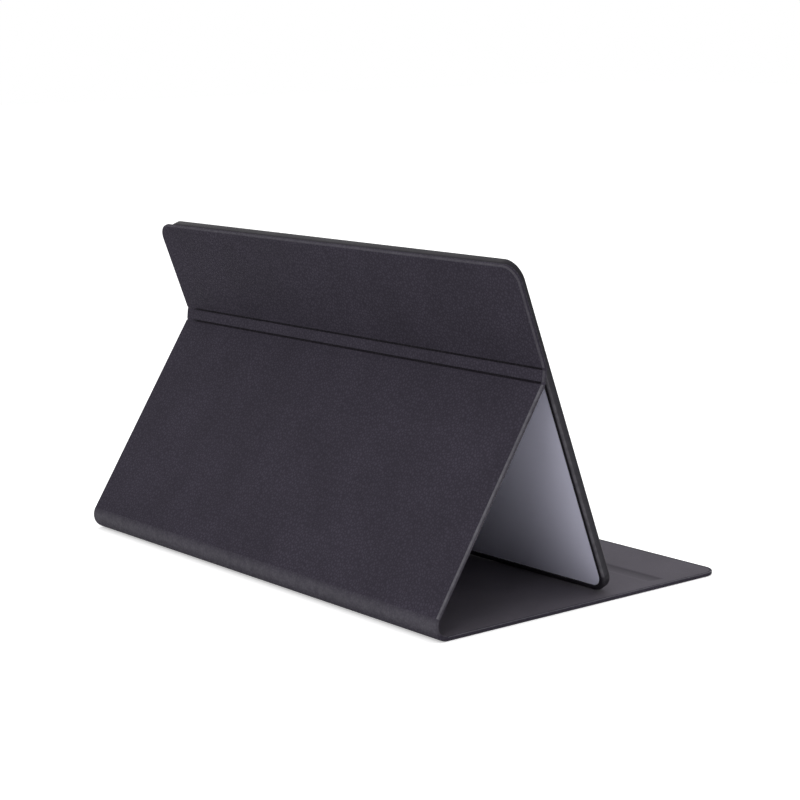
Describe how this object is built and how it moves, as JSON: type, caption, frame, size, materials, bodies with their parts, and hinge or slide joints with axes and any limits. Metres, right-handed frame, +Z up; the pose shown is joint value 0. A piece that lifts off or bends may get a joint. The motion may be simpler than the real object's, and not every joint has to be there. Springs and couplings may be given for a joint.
{
  "type": "portable folding whiteboard",
  "caption": "Folio cover that folds into a desk stand and carries a dry-wipe board with a thin rim, with its capped marker and felt eraser lying on the base.",
  "frame": {"origin": "centre of the footprint, on the surface that the base lies on", "axes": "+X along the board's width, the writing face looks towards -Y, +Z up"},
  "size_m": [0.3, 0.1868, 0.1689],
  "materials": {
    "cover_skin": "fine pebble grain, satin",
    "cover_lining": "smooth microfibre, matt",
    "stiffener_board": "grey board",
    "magnet": "plated",
    "mounting_tape": "foam tape",
    "rim_plastic": "fine satin",
    "back_panel": "satin grey",
    "sheet_steel": "plain sheet",
    "writing_face": "glossy dry-wipe",
    "marker_white": "glossy white",
    "marker_black": "satin black",
    "marker_grey": "satin",
    "felt_black": "pressed felt",
    "ink_fibre": "bonded fibre",
    "eraser_grey": "satin grey",
    "eraser_pad": "pressed felt"
  },
  "bodies": {
    "base": {"base_outer_skin": "cover_skin", "base_stiffener": "stiffener_board", "base_lining": "cover_lining", "base_foot_magnets": "magnet"},
    "spine": {"spine_skin": "cover_skin", "spine_lining": "cover_lining"},
    "stand": {"stand_outer_skin": "cover_skin", "stand_stiffener": "stiffener_board", "stand_lining": "cover_lining"},
    "crease_band": {"crease_band_skin": "cover_skin", "crease_band_lining": "cover_lining"},
    "board": {"strip_outer_skin": "cover_skin", "strip_stiffener": "stiffener_board", "strip_lining": "cover_lining", "strip_tape": "mounting_tape", "board_rim": "rim_plastic", "board_back_sheet": "back_panel", "board_core": "stiffener_board", "steel_sheet": "sheet_steel", "writing_sheet": "writing_face"},
    "marker": {"marker_end_plug": "marker_black", "marker_barrel": "marker_white", "marker_collar": "marker_grey", "marker_nib": "felt_black", "marker_ink_reservoir": "ink_fibre"},
    "cap": {"marker_cap": "marker_black", "cap_sleeve": "marker_black", "cap_felt": "felt_black"},
    "eraser": {"eraser_shell": "eraser_grey", "eraser_felt": "eraser_pad", "eraser_magnet": "magnet"}
  },
  "joints": [
    {"name": "rear_fold", "type": "hinge", "parent": "base", "child": "spine", "pos_m": [0, 0.08859, 0.0011], "axis": [-1, 0, 0], "range_deg": [0, 61.47]},
    {"name": "stand_fold", "type": "hinge", "parent": "spine", "child": "stand", "pos_m": [0, 0.09231, 0.00795], "axis": [-1, 0, 0], "range_deg": [0, 61.46]},
    {"name": "lower_crease", "type": "hinge", "parent": "stand", "child": "crease_band", "pos_m": [0, 0.02546, 0.1112], "axis": [1, 0, 0], "range_deg": [0, 26.48]},
    {"name": "upper_crease", "type": "hinge", "parent": "crease_band", "child": "board", "pos_m": [0, 0.02467, 0.11815], "axis": [1, 0, 0], "range_deg": [0, 26.48]},
    {"name": "marker_lift", "type": "slide", "parent": "base", "child": "marker", "axis": [0, 0, 1], "range_m": [0, 0.06]},
    {"name": "cap_pull", "type": "slide", "parent": "marker", "child": "cap", "axis": [0.9999, 0, 0.0137], "range_m": [0, 0.045]},
    {"name": "eraser_lift", "type": "slide", "parent": "base", "child": "eraser", "axis": [0, 0, 1], "range_m": [0, 0.06]}
  ],
  "couplings": [
    {"joint": "rear_fold", "follows": "stand_fold", "ratio": 1},
    {"joint": "lower_crease", "follows": "stand_fold", "ratio": 0.43074},
    {"joint": "upper_crease", "follows": "stand_fold", "ratio": 0.43074}
  ]
}
